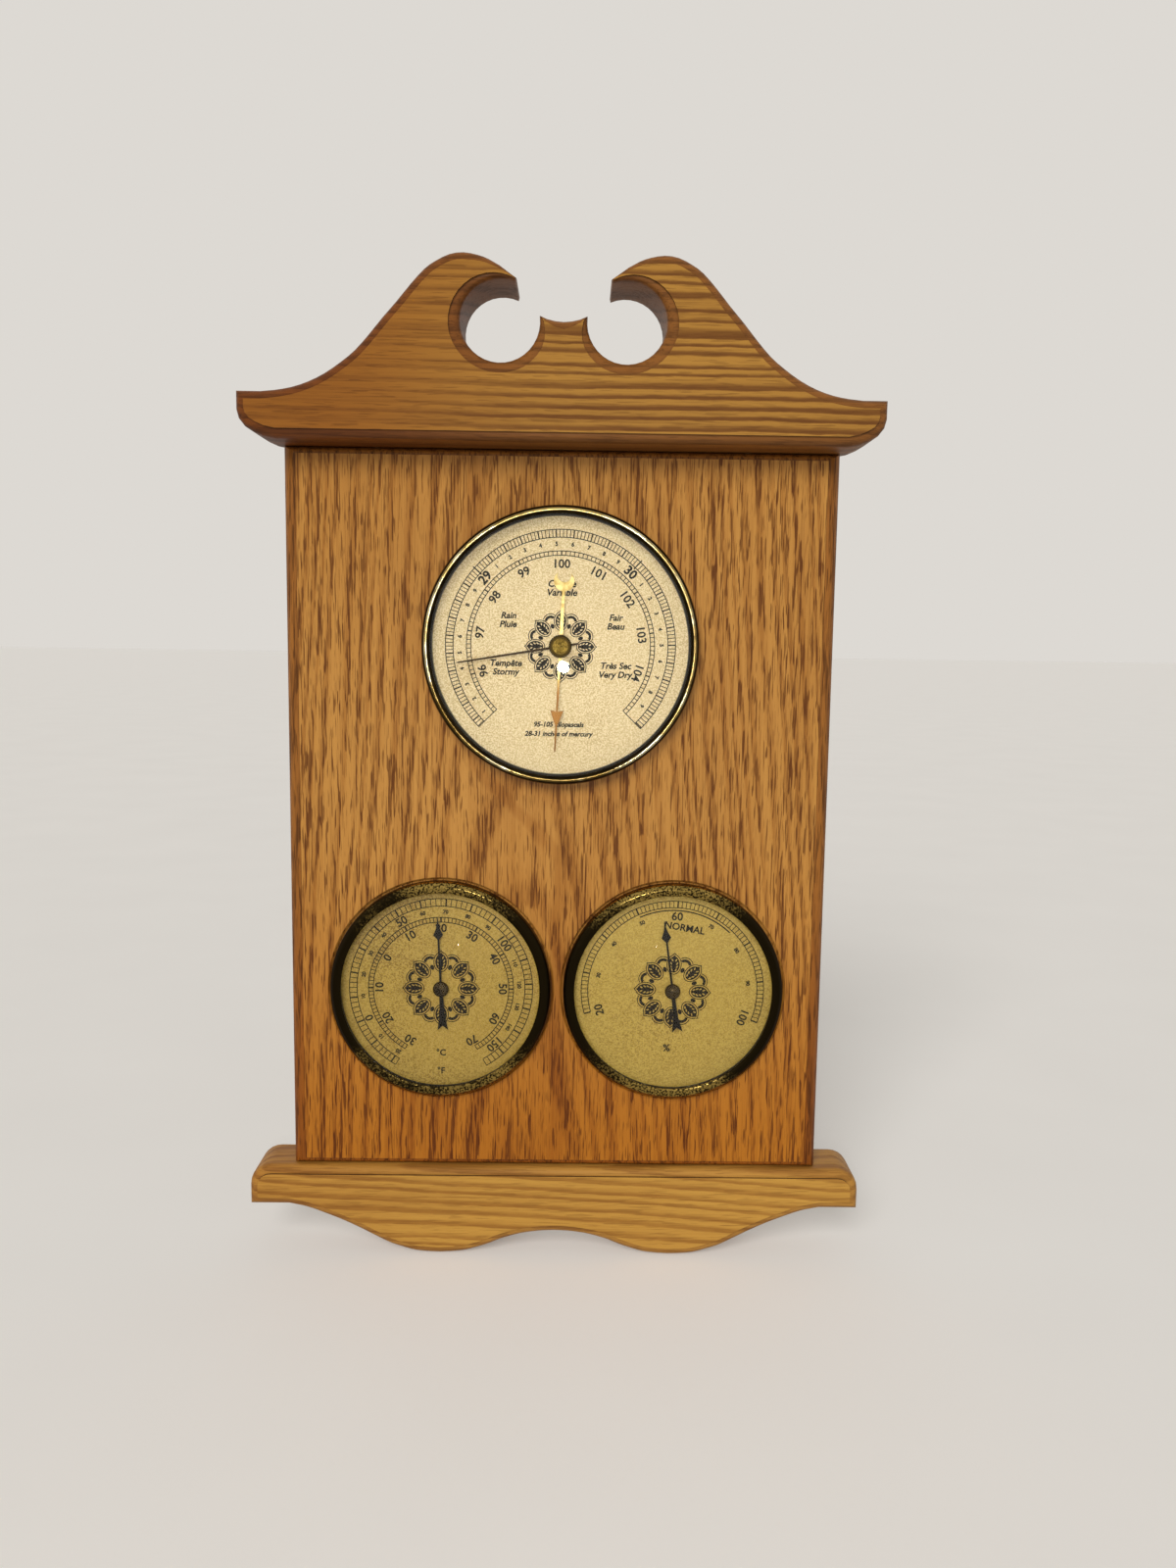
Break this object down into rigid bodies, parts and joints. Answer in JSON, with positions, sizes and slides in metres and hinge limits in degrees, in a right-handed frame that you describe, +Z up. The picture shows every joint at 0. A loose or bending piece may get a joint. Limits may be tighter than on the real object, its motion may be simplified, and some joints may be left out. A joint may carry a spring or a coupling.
{
  "type": "weather station",
  "caption": "Wall weather station of oak boards with a scrolled top, a round barometer with a reminder hand, and a thermometer and a hygrometer below.",
  "frame": {"origin": "seat of the hanging slot, in the plane of the back face", "axes": "+Z up, the front faces -Y, +X to the right seen from the front"},
  "size_m": [0.2448, 0.035, 0.3842],
  "materials": {
    "oak_upright": "satin",
    "oak_pediment": "satin",
    "oak_base": "satin",
    "dowel_wood": "matte",
    "plated_steel": "satin",
    "case_metal": "satin",
    "dial_gold": "satin",
    "spacer_black": "matte",
    "clear_glass": "gloss",
    "polished_brass": "gloss",
    "aged_brass": "gloss",
    "set_brass": "gloss",
    "pointer_black": "satin",
    "hub_dark": "gloss",
    "works_steel": "satin",
    "works_brass": "satin",
    "capsule_metal": "satin",
    "coil_metal": "satin"
  },
  "bodies": {
    "station": {"body_board": "oak_upright", "pediment": "oak_pediment", "base_board": "oak_base", "pediment_dowels": "dowel_wood", "base_dowels": "dowel_wood", "hanger_plate": "plated_steel", "hanger_screws": "plated_steel", "baro_case": "case_metal", "baro_dial": "dial_gold", "baro_spacer": "spacer_black", "baro_glass": "clear_glass", "baro_bezel": "polished_brass", "mov_low_plate": "works_brass", "mov_top_plate": "works_brass", "mov_pillars": "works_brass", "pillar_screws": "works_steel", "capsule": "capsule_metal", "main_spring": "works_steel", "lifting_arm": "works_brass", "hairspring": "works_steel", "hairspring_post": "works_brass", "movement_screws": "works_steel", "adjusting_screw": "works_brass", "thermo_case": "case_metal", "thermo_dial": "dial_gold", "thermo_spacer": "spacer_black", "thermo_glass": "clear_glass", "thermo_bezel": "aged_brass", "thermo_bridge": "works_brass", "thermo_coil": "coil_metal", "thermo_coil_post": "works_brass", "thermo_screws": "works_steel", "hygro_case": "case_metal", "hygro_dial": "dial_gold", "hygro_spacer": "spacer_black", "hygro_glass": "clear_glass", "hygro_bezel": "aged_brass", "hygro_bridge": "works_brass", "hygro_coil": "coil_metal", "hygro_coil_post": "works_brass", "hygro_screws": "works_steel"},
    "pressure_pointer": {"baro_pointer": "pointer_black", "baro_arbor": "works_steel", "pinion": "works_brass"},
    "gear_sector": {"sector": "works_brass", "sector_arbor": "works_steel"},
    "reminder_hand": {"set_hand": "set_brass", "set_shaft": "set_brass", "set_knob": "set_brass"},
    "temperature_pointer": {"thermo_pointer": "pointer_black", "thermo_hub": "hub_dark", "thermo_arbor": "works_steel"},
    "humidity_pointer": {"hygro_pointer": "pointer_black", "hygro_hub": "hub_dark", "hygro_arbor": "works_steel"}
  },
  "joints": [
    {"name": "pressure_turn", "type": "hinge", "parent": "station", "child": "pressure_pointer", "pos_m": [0, -0.02, -0.062], "axis": [0, 1, 0], "range_deg": [-35.5, 234.5], "deforming": ["hairspring"]},
    {"name": "sector_turn", "type": "hinge", "parent": "station", "child": "gear_sector", "pos_m": [0, -0.02, -0.0444], "axis": [0, 1, 0], "range_deg": [-23.45, 3.55]},
    {"name": "reminder_turn", "type": "hinge", "parent": "station", "child": "reminder_hand", "pos_m": [0, -0.02, -0.062], "axis": [0, 1, 0], "continuous": true},
    {"name": "temperature_turn", "type": "hinge", "parent": "station", "child": "temperature_pointer", "pos_m": [-0.0457, -0.02, -0.1967], "axis": [0, 1, 0], "range_deg": [-147.3, 152.7], "deforming": ["thermo_coil"]},
    {"name": "humidity_turn", "type": "hinge", "parent": "station", "child": "humidity_pointer", "pos_m": [0.0457, -0.02, -0.1967], "axis": [0, 1, 0], "range_deg": [-97.8, 118.2], "deforming": ["hygro_coil"]}
  ],
  "couplings": [
    {"joint": "pressure_turn", "follows": "sector_turn", "ratio": -10}
  ]
}
